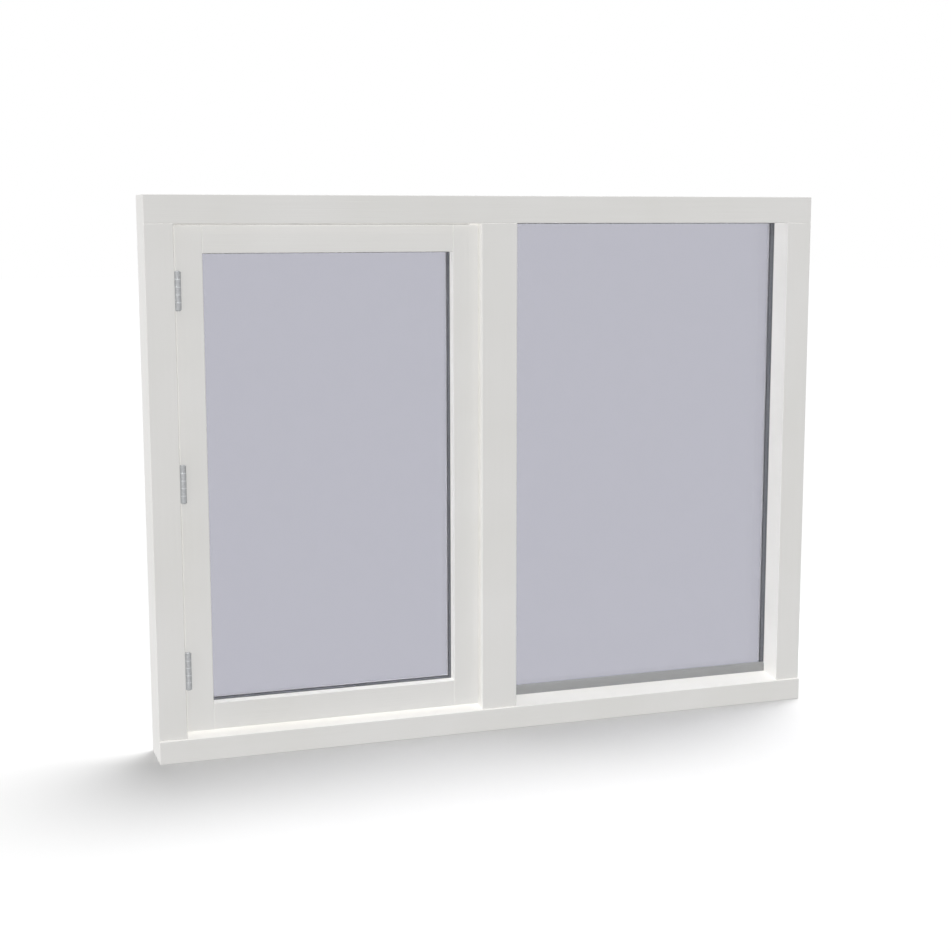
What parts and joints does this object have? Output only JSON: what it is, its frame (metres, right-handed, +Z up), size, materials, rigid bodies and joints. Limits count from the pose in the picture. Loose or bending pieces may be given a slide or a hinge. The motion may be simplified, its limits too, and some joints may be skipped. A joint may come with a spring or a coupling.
{
  "type": "casement window",
  "caption": "White painted timber window: a side-hung casement sash on butt hinges beside a fixed double-glazed light, split by a mullion in one frame.",
  "frame": {"origin": "middle of the sill's underside, half way between the outside and the inside face of the frame", "axes": "+X along the window from the hinge side to the fixed light, +Y from outside to inside, +Z up"},
  "size_m": [1.41, 0.1305, 1.1],
  "materials": {
    "white_painted_timber": "satin white paint on pine",
    "clear_glass": "clear float glass with a slight grey tint",
    "black_rubber": "matt black seal",
    "dark_spacer": "dark grey edge spacer",
    "grey_aluminium": "matt grey bead",
    "galvanised_steel": "dull zinc plating",
    "satin_metal": "satin nickel"
  },
  "bodies": {
    "root": {"bottom_hinge_frame_leaf": "galvanised_steel", "bottom_hinge_pin": "galvanised_steel", "bottom_hinge_sash_leaf": "galvanised_steel", "fixed_bottom_bead": "white_painted_timber", "fixed_foot_bead": "grey_aluminium", "fixed_inner_gasket": "black_rubber", "fixed_inner_pane": "clear_glass", "fixed_left_bead": "white_painted_timber", "fixed_outer_gasket": "black_rubber", "fixed_outer_pane": "clear_glass", "fixed_right_bead": "white_painted_timber", "fixed_spacer": "dark_spacer", "fixed_top_bead": "white_painted_timber", "handle_lever": "satin_metal", "handle_plate": "satin_metal", "head": "white_painted_timber", "left_jamb": "white_painted_timber", "middle_hinge_frame_leaf": "galvanised_steel", "middle_hinge_pin": "galvanised_steel", "middle_hinge_sash_leaf": "galvanised_steel", "mullion": "white_painted_timber", "right_jamb": "white_painted_timber", "sash_bottom_bead": "white_painted_timber", "sash_bottom_rail": "white_painted_timber", "sash_hinge_stile": "white_painted_timber", "sash_inner_gasket": "black_rubber", "sash_inner_pane": "clear_glass", "sash_left_bead": "white_painted_timber", "sash_lock_stile": "white_painted_timber", "sash_outer_gasket": "black_rubber", "sash_outer_pane": "clear_glass", "sash_right_bead": "white_painted_timber", "sash_spacer": "dark_spacer", "sash_top_bead": "white_painted_timber", "sash_top_rail": "white_painted_timber", "sill": "white_painted_timber", "top_hinge_frame_leaf": "galvanised_steel", "top_hinge_pin": "galvanised_steel", "top_hinge_sash_leaf": "galvanised_steel", "weather_seal": "black_rubber"}
  },
  "joints": []
}
